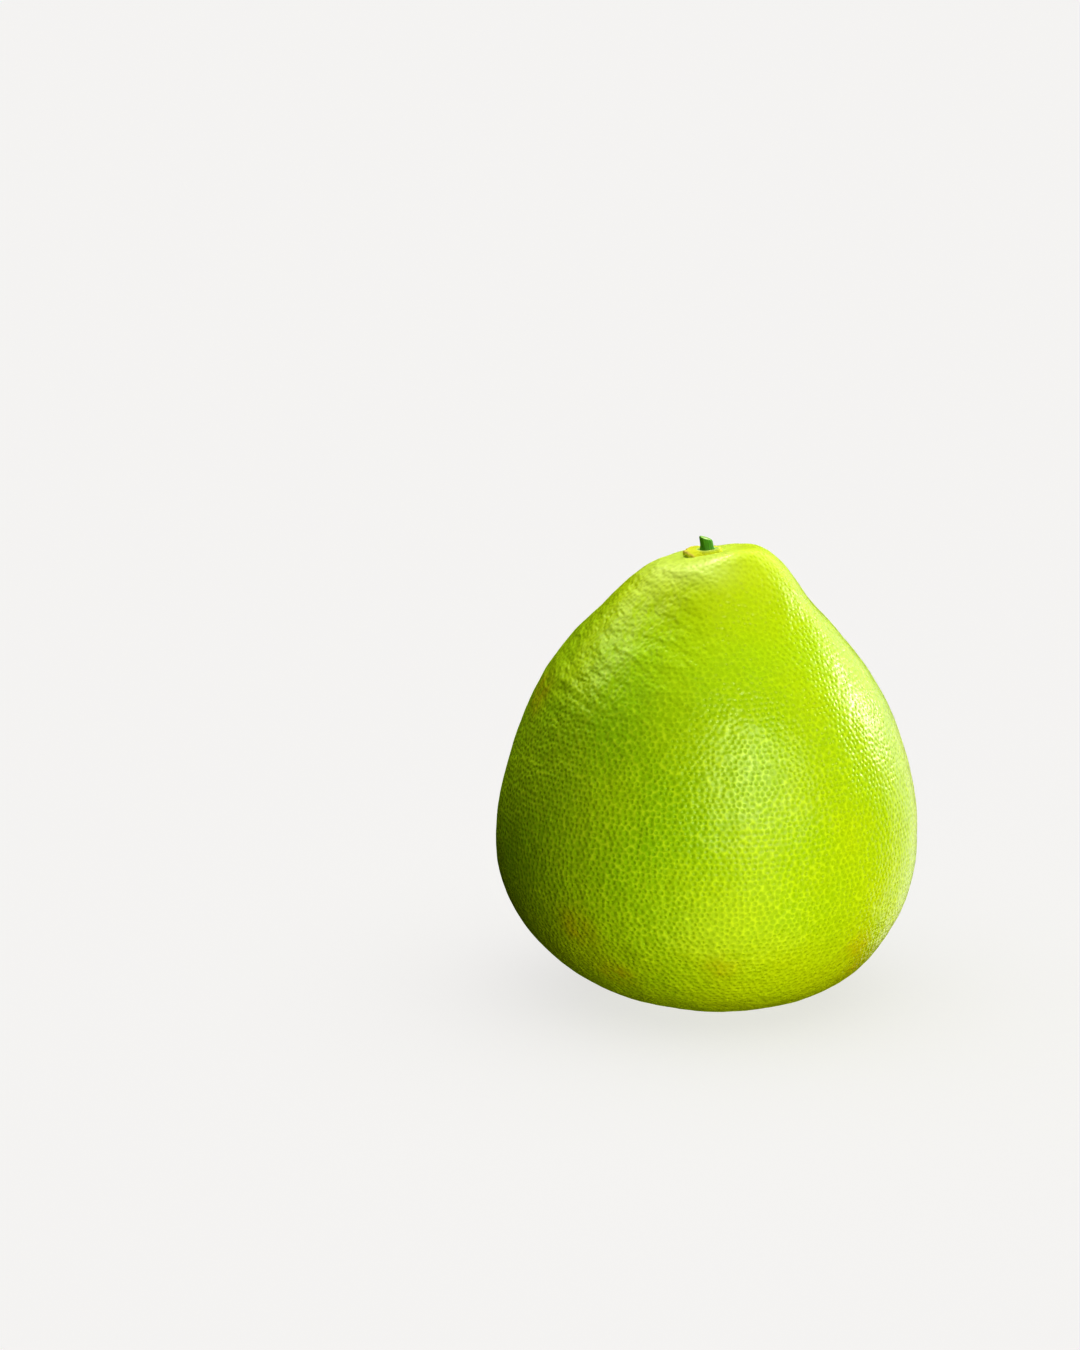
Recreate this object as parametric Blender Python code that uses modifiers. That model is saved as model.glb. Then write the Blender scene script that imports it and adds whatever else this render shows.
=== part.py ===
"""A pomelo: a pear-shaped green citrus fruit with its dried calyx and the cut stub of its stem.

Units are metres, +Z up. The fruit stands on its flat spot at z = 0, and the middle of its outline as seen
from above is at x = y = 0. Its front is towards -Y.
"""
import math

import bmesh
import bpy
import numpy as np

OBJECT_NAME = "pomelo"

# Radius and height of the fruit's outline, from the stem's place down the flank to the middle of the base.
PROFILE = (
    (0.0000, 0.1604), (0.0070, 0.1605), (0.0140, 0.1608), (0.0210, 0.1589), (0.0307, 0.1500),
    (0.0363, 0.1430), (0.0461, 0.1320), (0.0580, 0.1160), (0.0663, 0.0990), (0.0724, 0.0800),
    (0.0750, 0.0590), (0.0725, 0.0400), (0.0636, 0.0230), (0.0495, 0.0095), (0.0300, 0.0011),
    (0.0150, -0.0006), (0.0000, -0.0011),
)
FLOOR = 0.0                       # the flat spot: nothing of the fruit is lower

# Height and shift to the right of the line through the middle: the base grew a little to one side.
CENTRE_LINE = (
    (0.000, 0.0041), (0.030, 0.0006), (0.060, -0.0001), (0.090, 0.0004), (0.120, -0.0004),
    (0.140, -0.0012), (0.160, -0.0005),
)

# The crown leans to the front, and its top is tilted down to the left and the back.
LEAN_START = 0.090
LEAN = -0.0029                    # towards the front
TILT_START = 0.115
TILT = (0.145, -0.060)
CROWN_END = 0.160

# Soft ribs under the crown.
RIB_COUNT = 5
RIB_TURN = 2.2
RIB_RISE = 0.0006
RIB_HEIGHT = 0.146
RIB_SPREAD = 0.011
RIB_FREE_RADIUS = 0.020           # nearer the stem than this the ribs fade out

# Soft swellings and dents: azimuth in degrees, height, spread and rise (a dent where it is negative).
HEART = (0.0, 0.0, 0.080)         # they rise straight away from this point
SWELLINGS = (
    (-55.0, 0.1606, 0.0060, 0.0018),
    (-122.0, 0.1500, 0.0075, -0.0011),
    (-150.0, 0.1430, 0.0080, 0.0006),
    (-62.0, 0.1330, 0.0120, -0.0006),
    (-95.0, 0.1230, 0.0130, 0.0007),
    (100.0, 0.1380, 0.0140, -0.0012),
    (50.0, 0.1290, 0.0130, 0.0009),
    (150.0, 0.1200, 0.0120, 0.0007),
)

FRUIT_SEGMENTS = 84
FRUIT_RINGS = 44

GAP = 0.0003                      # left between pieces that touch

# The calyx lies on the crown round the stem.
CALYX_RADIUS = 0.0086
CALYX_LOBES = 5
CALYX_LOBE_REACH = 0.14           # how far a lobe reaches past the mean radius, as a share of it
CALYX_TURN = 0.9
CALYX_RIM = 0.0006
CALYX_COLLAR = 0.0018             # height of the raised ring round the stem
CALYX_COLLAR_RADIUS = 0.0042
CALYX_FLOOR = 0.0009              # height of the seat that the stem stands on
CALYX_SEAT_RADIUS = 0.0032
CALYX_SEGMENTS = 60
CALYX_RINGS = 16

STEM_FOOT_RADIUS = 0.0028
STEM_TOP_RADIUS = 0.0025
STEM_TALL = 0.0043
STEM_LEAN = (-0.0006, 0.0003)
STEM_CUT_SLOPE = 0.34             # the cut drops this much for each unit to the right
STEM_SEGMENTS = 32
STEM_CUTS = 4

# Base colour (linear), roughness.
FINISHES = {
    "fruit": ((0.445, 0.672, 0.012), 0.38),
    "calyx": ((0.330, 0.300, 0.050), 0.75),
    "stem": ((0.050, 0.190, 0.012), 0.60),
}


def clear_scene():
    """Removes what the scene holds."""
    for obj in list(bpy.data.objects):
        bpy.data.objects.remove(obj, do_unlink=True)


def spline_bends(knots, values):
    """Second derivatives, at the knots, of the natural cubic spline through the values."""
    step = np.diff(knots)
    system = np.eye(len(knots))
    bends = np.zeros_like(values)
    for i in range(1, len(knots) - 1):
        system[i, i - 1:i + 2] = step[i - 1], 2 * (step[i - 1] + step[i]), step[i]
        bends[i] = 6 * ((values[i + 1] - values[i]) / step[i] - (values[i] - values[i - 1]) / step[i - 1])
    return np.linalg.solve(system, bends)


class Spline:
    """A natural cubic spline through rows of values."""

    def __init__(self, knots, values):
        self.knots = np.array(knots)
        self.values = np.array(values)
        self.bends = spline_bends(self.knots, self.values)

    def at(self, place):
        """Rows of values at places along the knots."""
        place = np.asarray(place, dtype=float)
        i = np.clip(np.searchsorted(self.knots, place) - 1, 0, len(self.knots) - 2)
        step = (self.knots[i + 1] - self.knots[i])[..., None]
        a = (self.knots[i + 1] - place)[..., None] / step
        b = 1 - a
        curved = (a ** 3 - a) * self.bends[i] + (b ** 3 - b) * self.bends[i + 1]
        return a * self.values[i] + b * self.values[i + 1] + curved * step ** 2 / 6


class Outline:
    """Smooth curve through PROFILE, from the stem (0) to the base (1)."""

    def __init__(self):
        points = np.array(PROFILE)
        mirrored = points * (-1, 1)
        # Both ends run on into their mirror image, so that the curve crosses the axis level.
        points = np.concatenate([mirrored[:0:-1], points, mirrored[-2::-1]])
        chords = np.hypot(*np.diff(points, axis=0).T)
        knots = np.concatenate([[0.0], np.cumsum(np.sqrt(chords))])
        self.spline = Spline(knots, points)
        self.start = knots[len(PROFILE) - 1]
        self.length = knots[2 * len(PROFILE) - 2] - self.start

    def at(self, share):
        """Radius and height at a share of the way from stem to base."""
        point = self.spline.at(self.start + np.asarray(share) * self.length)
        return point[..., 0], point[..., 1]


OUTLINE = Outline()
CENTRE = Spline([height for height, _ in CENTRE_LINE], [[shift] for _, shift in CENTRE_LINE])


def ease(height, start):
    """0 below a height, then rising to 1 at the top of the crown."""
    return np.clip((height - start) / (CROWN_END - start), 0, 1) ** 2


def smooth_body(azimuth, share):
    """Points of the leaning, tilted fruit, before its ribs and swellings."""
    radius, height = OUTLINE.at(share)
    height = np.maximum(height, FLOOR)
    x = radius * np.cos(azimuth)
    y = radius * np.sin(azimuth)
    tilt = ease(height, TILT_START) * (TILT[0] * x + TILT[1] * y)
    x = x + CENTRE.at(height)[..., 0]
    y = y + LEAN * ease(height, LEAN_START)
    return np.stack([x, y, height + tilt], -1)


def share_at_height(height):
    """Share of the way from stem to base at which the flank passes a height."""
    shares = np.linspace(0, 1, 400)
    heights = OUTLINE.at(shares)[1]
    top = np.argmax(heights)
    return np.interp(-height, -heights[top:], shares[top:])


def share_at_radius(radius):
    """Share of the way from stem to base at which the crown passes a radius."""
    shares = np.linspace(0, 0.3, 200)
    return np.interp(radius, OUTLINE.at(shares)[0], shares)


def rib_rise(azimuth, share):
    """How far the soft ribs stand out."""
    radius, height = OUTLINE.at(share)
    wave = np.cos(RIB_COUNT * azimuth + RIB_TURN + 0.7 * np.sin(azimuth))
    fade = np.clip(radius / RIB_FREE_RADIUS, 0, 1) ** 2
    return RIB_RISE * wave * fade * np.exp(-((height - RIB_HEIGHT) / RIB_SPREAD) ** 2 / 2)


def swelling_rise(points):
    """How far the soft swellings stand out, and the dents go in, at these points."""
    rise = np.zeros(points.shape[:-1])
    for azimuth, height, spread, amount in SWELLINGS:
        centre = smooth_body(math.radians(azimuth), share_at_height(height))
        distance = np.linalg.norm(points - centre, axis=-1)
        rise += amount * np.exp(-(distance / spread) ** 2 / 2)
    return rise


def skin(azimuth, share):
    """Points of the fruit's skin at an azimuth and a share of the way from stem to base."""
    points = smooth_body(azimuth, share)
    outward = points - HEART
    outward /= np.linalg.norm(outward, axis=-1, keepdims=True)
    rise = rib_rise(azimuth, share) + swelling_rise(points)
    points = points + outward * rise[..., None]
    points[..., 2] = np.maximum(points[..., 2], FLOOR)
    return points


def on_crown(azimuth, radius, lift):
    """Points that stand a given height above the skin of the crown."""
    points = skin(azimuth, share_at_radius(radius))
    points[..., 2] += lift
    return points


def sphere_angles(mesh):
    """Azimuth and polar angle of each point of a unit sphere."""
    points = np.array([vertex.co for vertex in mesh.vertices])
    points /= np.linalg.norm(points, axis=1, keepdims=True)
    return np.arctan2(points[:, 1], points[:, 0]), np.arccos(np.clip(points[:, 2], -1, 1))


def move_points(mesh, points):
    """Puts each point of the mesh at its new place."""
    mesh.vertices.foreach_set("co", points.ravel())
    mesh.update()


def add_sphere(name, segments, rings):
    """Adds a unit sphere and returns its object."""
    bpy.ops.mesh.primitive_uv_sphere_add(segments=segments, ring_count=rings, radius=1.0)
    obj = bpy.context.object
    obj.name = name
    obj.data.name = name
    return obj


def make_fruit():
    """The fruit: one solid, from its crown to its flat spot."""
    obj = add_sphere("fruit", FRUIT_SEGMENTS, FRUIT_RINGS)
    azimuth, polar = sphere_angles(obj.data)
    move_points(obj.data, skin(azimuth, polar / math.pi))
    return obj


def calyx_top(radius):
    """Height of the calyx's upper face above its underside: seat, collar, then down to the rim."""
    radii = (0.0, CALYX_SEAT_RADIUS, CALYX_COLLAR_RADIUS, CALYX_RADIUS)
    heights = (CALYX_FLOOR, CALYX_FLOOR, CALYX_COLLAR, CALYX_RIM)
    return np.interp(radius, radii, heights)


def make_calyx():
    """The calyx: a flat button of five sepals that follows the crown under it."""
    obj = add_sphere("calyx", CALYX_SEGMENTS, CALYX_RINGS)
    azimuth, polar = sphere_angles(obj.data)
    from_middle = 1 - np.abs(polar / (math.pi / 2) - 1)
    lobes = 1 + CALYX_LOBE_REACH * np.cos(CALYX_LOBES * azimuth + CALYX_TURN) * from_middle ** 2
    radius = CALYX_RADIUS * from_middle
    lift = np.where(polar < math.pi / 2 - 0.01, calyx_top(radius), 0.0)
    lift = np.where(from_middle > 0.99, CALYX_RIM / 2, lift)
    move_points(obj.data, on_crown(azimuth, radius * lobes, lift + GAP))
    return obj


def make_stem():
    """The stem: a short tapered stub, cut at a slant, that stands on the calyx's seat."""
    mesh = bpy.data.meshes.new("stem")
    shape = bmesh.new()
    bmesh.ops.create_cone(
        shape, cap_ends=True, segments=STEM_SEGMENTS, radius1=STEM_FOOT_RADIUS, radius2=STEM_TOP_RADIUS, depth=1.0)
    upright = [edge for edge in shape.edges if abs(edge.verts[0].co.z - edge.verts[1].co.z) > 0.5]
    bmesh.ops.subdivide_edges(shape, edges=upright, cuts=STEM_CUTS)
    shape.to_mesh(mesh)
    shape.free()
    points = np.array([vertex.co for vertex in mesh.vertices])
    up = points[:, 2] + 0.5
    seat = on_crown(np.arctan2(points[:, 1], points[:, 0]), np.hypot(points[:, 0], points[:, 1]), 0.0)
    lift = GAP + CALYX_FLOOR + GAP + up * (STEM_TALL - STEM_CUT_SLOPE * points[:, 0])
    seat[:, :2] += up[:, None] * STEM_LEAN
    seat[:, 2] += lift
    move_points(mesh, seat)
    obj = bpy.data.objects.new("stem", mesh)
    bpy.context.scene.collection.objects.link(obj)
    bevel = obj.modifiers.new("worn edges", "BEVEL")
    bevel.width = 0.00025
    bevel.segments = 2
    bevel.limit_method = "ANGLE"
    bevel.angle_limit = math.radians(40)
    return obj


def finish(obj, collection, stand):
    """Gives a piece its material, smooth shading, collection and parent."""
    colour, roughness = FINISHES[obj.name]
    material = bpy.data.materials.new(obj.name)
    material.use_nodes = True
    shader = material.node_tree.nodes["Principled BSDF"]
    shader.inputs["Base Color"].default_value = (*colour, 1.0)
    shader.inputs["Roughness"].default_value = roughness
    shader.inputs["Metallic"].default_value = 0.0
    obj.data.materials.clear()
    obj.data.materials.append(material)
    obj.data.shade_smooth()
    for other in list(obj.users_collection):
        other.objects.unlink(obj)
    collection.objects.link(obj)
    obj.parent = stand


def make_stand(fruit, collection):
    """An empty that brings the middle of the fruit's outline to x = y = 0."""
    points = np.array([vertex.co for vertex in fruit.data.vertices])
    middle = (points.min(0) + points.max(0)) / 2
    stand = bpy.data.objects.new("stand", None)
    stand.location = (-middle[0], -middle[1], 0.0)
    collection.objects.link(stand)
    return stand


def main():
    clear_scene()
    collection = bpy.data.collections.new(OBJECT_NAME)
    bpy.context.scene.collection.children.link(collection)
    fruit = make_fruit()
    stand = make_stand(fruit, collection)
    for obj in (fruit, make_calyx(), make_stem()):
        finish(obj, collection, stand)
    bpy.context.view_layer.update()


main()
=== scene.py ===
"""The pomelo's looks: a waxy green rind full of oil glands, a dried calyx button and a cut stem stub.

Metres, +Z up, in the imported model's frame. The fruit stands on z = 0 and its front is towards -Y.
"""
from __future__ import annotations

import logging
import math
from dataclasses import dataclass, field
from enum import Enum
from typing import Mapping, Sequence

import bpy
import numpy as np
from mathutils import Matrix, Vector
from mathutils.geometry import delaunay_2d_cdt

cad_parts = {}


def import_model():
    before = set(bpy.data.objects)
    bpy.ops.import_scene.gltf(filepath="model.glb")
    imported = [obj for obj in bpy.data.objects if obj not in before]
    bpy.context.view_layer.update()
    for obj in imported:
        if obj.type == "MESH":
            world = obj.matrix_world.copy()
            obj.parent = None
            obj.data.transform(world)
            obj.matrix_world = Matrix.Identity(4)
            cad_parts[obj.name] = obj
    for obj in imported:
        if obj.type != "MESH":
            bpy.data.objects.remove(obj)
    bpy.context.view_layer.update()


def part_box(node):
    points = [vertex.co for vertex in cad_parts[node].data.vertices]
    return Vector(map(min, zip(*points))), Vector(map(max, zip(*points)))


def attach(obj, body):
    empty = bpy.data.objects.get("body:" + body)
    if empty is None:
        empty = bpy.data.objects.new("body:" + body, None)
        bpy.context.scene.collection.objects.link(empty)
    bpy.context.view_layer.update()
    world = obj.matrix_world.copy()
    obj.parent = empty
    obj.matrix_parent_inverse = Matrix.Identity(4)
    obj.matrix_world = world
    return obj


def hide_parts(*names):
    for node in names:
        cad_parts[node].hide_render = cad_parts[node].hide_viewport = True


Array = np.ndarray
Object = bpy.types.Object
Mesh = bpy.types.Mesh
Material = bpy.types.Material
Socket = bpy.types.NodeSocket
Wires = Mapping[str, object]

MM = 0.001
FULL_TURN = 2 * math.pi
MATH = "ShaderNodeMath"
VECTOR_MATH = "ShaderNodeVectorMath"
MAP_RANGE = "ShaderNodeMapRange"
NOISE = "ShaderNodeTexNoise"
SOFT = {"interpolation_type": "SMOOTHSTEP"}
log = logging.getLogger("pomelo")


class Slot(Enum):
    """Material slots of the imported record."""

    RIND = "rind"
    CALYX = "calyx"
    STEM = "stem"


class Domain(Enum):
    """Parts of a mesh that an attribute belongs to."""

    POINT = "POINT"
    FACE = "FACE"


class Axis(Enum):
    """Axes that a look changes along."""

    X = "X"
    Z = "Z"


@dataclass(frozen=True)
class Band:
    """A step in a look along an axis: from one strength at its start to another at its end."""

    axis: Axis
    start: float
    end: float
    low: float = 0.0
    high: float = 1.0
    soft: bool = True


@dataclass(frozen=True)
class Wave:
    """A sine wave round the stem's axis, which a twist can lean over."""

    count: int
    size: float
    phase: float = 0.0
    twist: float = 0.0

    def at(self, azimuth: Array, along: Array) -> Array:
        """The wave's rise at an azimuth and a place along its crests."""
        return self.size * np.sin(self.count * azimuth + self.phase + self.twist * along)


def linear(code: str) -> tuple[float, float, float, float]:
    """Turns an sRGB hex colour into the linear colour that Blender works in.

    Args:
        code: the colour as "#RRGGBB".

    Returns:
        Linear red, green, blue and an alpha of 1.
    """
    shares = [int(code[i:i + 2], 16) / 255 for i in (1, 3, 5)]
    values = [s / 12.92 if s <= 0.04045 else ((s + 0.055) / 1.055) ** 2.4 for s in shares]
    return (*values, 1.0)


def shown(name: str, data: object) -> Object:
    """Makes an object of a mesh, a light or a camera and links it to the scene."""
    thing = bpy.data.objects.new(name, data)
    bpy.context.scene.collection.objects.link(thing)
    return thing


class Graph:
    """A node tree that is built in code."""

    def __init__(self, tree: bpy.types.NodeTree) -> None:
        """Takes the tree that the nodes go in."""
        self.tree = tree

    def add(self, kind: str, wires: Wires | None = None, out: str | None = None,
            **settings: object) -> Socket | None:
        """Adds a node, sets it and wires its inputs.

        Args:
            kind: Blender's name for the type of node.
            wires: for each input's identifier, an output socket to link or a value to set.
            out: identifier of the output wanted, or None for the first.
            settings: the node's own properties.

        Returns:
            The output socket that was asked for, or None where the node has no output.
        """
        node = self.tree.nodes.new(kind)
        for name, value in settings.items():
            setattr(node, name, value)
        for key, value in (wires or {}).items():
            socket = next(s for s in node.inputs if s.identifier == key)
            if isinstance(value, Socket):
                self.tree.links.new(value, socket)
            else:
                socket.default_value = value
        return next((s for s in node.outputs if out in (None, s.identifier)), None)


class MaterialTree(Graph):
    """A material's node tree, which knows each point's place on the object."""

    def __init__(self, name: str) -> None:
        """Makes a material with the nodes that read the place.

        Args:
            name: the material's name.
        """
        self.material = bpy.data.materials.new(name)
        self.material.use_nodes = True
        super().__init__(self.material.node_tree)
        self.tree.nodes.clear()
        self.place = self.add("ShaderNodeTexCoord", out="Object")
        self.parts = self.add("ShaderNodeSeparateXYZ", {"Vector": self.place}).node

    def zone(self, *bands: Band) -> Socket:
        """Strength of a look that keeps to a zone of the object.

        Args:
            bands: the steps along the axes that make the zone.

        Returns:
            The product of the bands.
        """
        total = None
        for band in bands:
            step = self.add(MAP_RANGE, {
                "Value": self.parts.outputs[band.axis.value], "From Min": band.start, "From Max": band.end,
                "To Min": band.low, "To Max": band.high}, **(SOFT if band.soft else {}))
            total = step if total is None else self.add(
                MATH, {"Value": total, "Value_001": step}, operation="MULTIPLY")
        return total

    def disc(self, middle: tuple[float, float, float], outer: float, inner: float, strength: float) -> Socket:
        """Strength of a soft round patch.

        Args:
            middle: the patch's middle.
            outer: radius at which it has faded out.
            inner: radius inside which it is at its full strength.
            strength: that full strength.

        Returns:
            The patch's strength at each place.
        """
        distance = self.add(
            VECTOR_MATH, {"Vector": self.place, "Vector_001": middle}, "Value", operation="DISTANCE")
        return self.add(MAP_RANGE, {
            "Value": distance, "From Min": outer, "From Max": inner, "To Max": strength}, **SOFT)

    def layered(self, ground: Socket | str, *layers: tuple[Socket, Socket | str]) -> Socket:
        """Lays colours over one another.

        Args:
            ground: the lowest colour, as a socket or a hex code.
            layers: a mask and a colour for each layer, the lowest first.

        Returns:
            The colour that they make together.
        """
        colour = ground
        for mask, cover in layers:
            below, above = [linear(c) if isinstance(c, str) else c for c in (colour, cover)]
            colour = self.add("ShaderNodeMix", {
                "Factor_Float": mask, "A_Color": below, "B_Color": above}, "Result_Color", data_type="RGBA")
        return colour

    def finished(self, surface: Wires) -> Material:
        """Ends the tree in a principled surface and gives the material."""
        self.add("ShaderNodeOutputMaterial", {"Surface": self.add("ShaderNodeBsdfPrincipled", surface)})
        return self.material


class GeometryTree(Graph):
    """A Geometry Nodes tree that is built in code and applied to a mesh once."""

    SORTS = ((float, "NodeSocketFloat"), (int, "NodeSocketInt"), (tuple, "NodeSocketVector"),
             (Material, "NodeSocketMaterial"))

    def __init__(self, name: str, values: Mapping[str, object]) -> None:
        """Makes the tree with a geometry input and output and a named input for each value.

        Args:
            name: the tree's name.
            values: what each input besides the geometry is set to, a "Material" among them.
        """
        super().__init__(bpy.data.node_groups.new(name, "GeometryNodeTree"))
        self.values = values
        sockets = self.tree.interface
        sockets.new_socket("Geometry", in_out="INPUT", socket_type="NodeSocketGeometry")
        for key, value in values.items():
            kind = next(kind for sort, kind in self.SORTS if isinstance(value, sort))
            sockets.new_socket(key, in_out="INPUT", socket_type=kind)
        sockets.new_socket("Geometry", in_out="OUTPUT", socket_type="NodeSocketGeometry")
        self.entry = self.tree.nodes.new("NodeGroupInput")
        self.exit = self.tree.nodes.new("NodeGroupOutput")

    def given(self, name: str) -> Socket:
        """Output socket that carries a named input into the tree."""
        return self.entry.outputs[name]

    def close(self, geometry: Socket) -> None:
        """Ends the tree in Realize Instances and Set Material.

        Args:
            geometry: the finished geometry.
        """
        real = self.add("GeometryNodeRealizeInstances", {"Geometry": geometry})
        dressed = self.add("GeometryNodeSetMaterial", {"Geometry": real, "Material": self.given("Material")})
        self.tree.links.new(dressed, self.exit.inputs[0])

    def applied(self, mesh: Mesh, name: str) -> Mesh:
        """Runs the tree on a mesh.

        Args:
            mesh: the mesh that goes in; it is removed afterwards.
            name: name of the mesh that comes out.

        Returns:
            The plain mesh that the tree makes.
        """
        carrier = shown(name + " before nodes", mesh)
        modifier = carrier.modifiers.new("nodes", "NODES")
        modifier.node_group = self.tree
        for item in self.tree.interface.items_tree:
            if item.in_out == "INPUT" and item.name in self.values:
                modifier[item.identifier] = self.values[item.name]
        graph = bpy.context.evaluated_depsgraph_get()
        made = bpy.data.meshes.new_from_object(
            carrier.evaluated_get(graph), preserve_all_data_layers=True, depsgraph=graph)
        made.name = name
        carrier.modifiers.remove(modifier)
        bpy.data.objects.remove(carrier)
        bpy.data.meshes.remove(mesh)
        return made


def mesh_of(name: str, points: Array, faces: Array) -> Mesh:
    """Makes a mesh from points and faces that all have as many corners.

    Args:
        name: the mesh's name.
        points: one row of x, y, z for each point.
        faces: one row of point numbers for each face.

    Returns:
        The mesh, shaded smooth.
    """
    mesh = bpy.data.meshes.new(name)
    count, corners = faces.shape
    mesh.vertices.add(len(points))
    mesh.vertices.foreach_set("co", np.asarray(points, np.float32).ravel())
    mesh.loops.add(count * corners)
    mesh.loops.foreach_set("vertex_index", np.asarray(faces, np.int32).ravel())
    mesh.polygons.add(count)
    mesh.polygons.foreach_set("loop_start", np.arange(count, dtype=np.int32) * corners)
    mesh.update(calc_edges=True)
    mesh.shade_smooth()
    return mesh


def give(mesh: Mesh, name: str, values: Array) -> None:
    """Stores a value or a vector for each point of a mesh as a named attribute.

    Args:
        mesh: the mesh.
        name: the attribute's name.
        values: one value or one row of three for each point.
    """
    flat = values.ndim == 1
    kind = "FLOAT" if flat else "FLOAT_VECTOR"
    attribute = mesh.attributes.new(name, kind, Domain.POINT.value)
    attribute.data.foreach_set("value" if flat else "vector", np.asarray(values, np.float32).ravel())


def taken(mesh: Mesh, name: str) -> Array:
    """Reads a vector attribute of a mesh's points.

    Args:
        mesh: the mesh.
        name: the attribute's name.

    Returns:
        One row of three for each point.
    """
    values = np.empty(len(mesh.vertices) * 3, np.float32)
    mesh.attributes[name].data.foreach_get("vector", values)
    return values.reshape(-1, 3).astype(float)


def piece_of(mesh: Mesh, slot: Slot, node: str) -> Object:
    """Shows a mesh as a piece that stands for a CAD node.

    Args:
        mesh: the finished mesh, whose name the piece takes.
        slot: the record's material slot; not used.
        node: the CAD node that it replaces.

    Returns:
        The piece's object.
    """
    piece = shown(mesh.name, mesh)
    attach(piece, "root")
    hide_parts(node)
    log.info("%s: %d faces, %d points", piece.name, len(mesh.polygons), len(mesh.vertices))
    return piece


def rise(value: Array, start: float, end: float) -> Array:
    """Smooth step from 0 at start to 1 at end."""
    share = np.clip((np.asarray(value) - start) / (end - start), 0, 1)
    return share * share * (3 - 2 * share)


class Spline:
    """A natural cubic spline through rows of values."""

    def __init__(self, knots: Sequence[float], values: Sequence[Sequence[float]]) -> None:
        """Solves for the second derivatives at the knots.

        Args:
            knots: places along the curve, rising.
            values: a row of values for each knot.
        """
        self.knots = np.array(knots)
        self.values = np.array(values)
        step = np.diff(self.knots)
        system = np.eye(len(self.knots))
        bends = np.zeros_like(self.values)
        for i in range(1, len(self.knots) - 1):
            before = (self.values[i] - self.values[i - 1]) / step[i - 1]
            after = (self.values[i + 1] - self.values[i]) / step[i]
            system[i, i - 1:i + 2] = step[i - 1], 2 * (step[i - 1] + step[i]), step[i]
            bends[i] = 6 * (after - before)
        self.bends = np.linalg.solve(system, bends)

    def at(self, place: Array) -> Array:
        """Works out the spline's values.

        Args:
            place: places along the knots.

        Returns:
            A row of values for each place.
        """
        place = np.asarray(place, dtype=float)
        i = np.clip(np.searchsorted(self.knots, place) - 1, 0, len(self.knots) - 2)
        step = (self.knots[i + 1] - self.knots[i])[..., None]
        a = (self.knots[i + 1] - place)[..., None] / step
        b = 1 - a
        curved = (a ** 3 - a) * self.bends[i] + (b ** 3 - b) * self.bends[i + 1]
        return a * self.values[i] + b * self.values[i + 1] + curved * step ** 2 / 6


@dataclass(frozen=True)
class Swelling:
    """A soft swelling of the fruit, or a dent where its rise is negative."""

    azimuth: float
    height: float
    spread: float
    rise: float


@dataclass(frozen=True)
class SkinSizes:
    """Driving sizes of the fruit's shape, the same as the solid's."""

    profile: tuple[tuple[float, float], ...] = (
        (0.0000, 0.1604), (0.0070, 0.1605), (0.0140, 0.1608), (0.0210, 0.1589), (0.0307, 0.1500),
        (0.0363, 0.1430), (0.0461, 0.1320), (0.0580, 0.1160), (0.0663, 0.0990), (0.0724, 0.0800),
        (0.0750, 0.0590), (0.0725, 0.0400), (0.0636, 0.0230), (0.0495, 0.0095), (0.0300, 0.0011),
        (0.0150, -0.0006), (0.0000, -0.0011),
    )
    floor: float = 0.0
    centre_line: tuple[tuple[float, float], ...] = (
        (0.000, 0.0041), (0.030, 0.0006), (0.060, -0.0001), (0.090, 0.0004), (0.120, -0.0004),
        (0.140, -0.0012), (0.160, -0.0005),
    )
    lean_start: float = 0.090
    lean: float = -0.0029
    tilt_start: float = 0.115
    tilt: tuple[float, float] = (0.145, -0.060)
    crown_end: float = 0.160
    rib_count: int = 5
    rib_turn: float = 2.2
    rib_sway: float = 0.7              # the ribs aren't quite evenly spaced
    rib_rise: float = 0.0006
    rib_height: float = 0.146
    rib_spread: float = 0.011
    rib_free_radius: float = 0.020
    heart: tuple[float, float, float] = (0.0, 0.0, 0.080)
    swellings: tuple[Swelling, ...] = (
        Swelling(-55.0, 0.1606, 0.0060, 0.0018),
        Swelling(-122.0, 0.1500, 0.0075, -0.0011),
        Swelling(-150.0, 0.1430, 0.0080, 0.0006),
        Swelling(-62.0, 0.1330, 0.0120, -0.0006),
        Swelling(-95.0, 0.1230, 0.0130, 0.0007),
        Swelling(100.0, 0.1380, 0.0140, -0.0012),
        Swelling(50.0, 0.1290, 0.0130, 0.0009),
        Swelling(150.0, 0.1200, 0.0120, 0.0007),
    )


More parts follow.
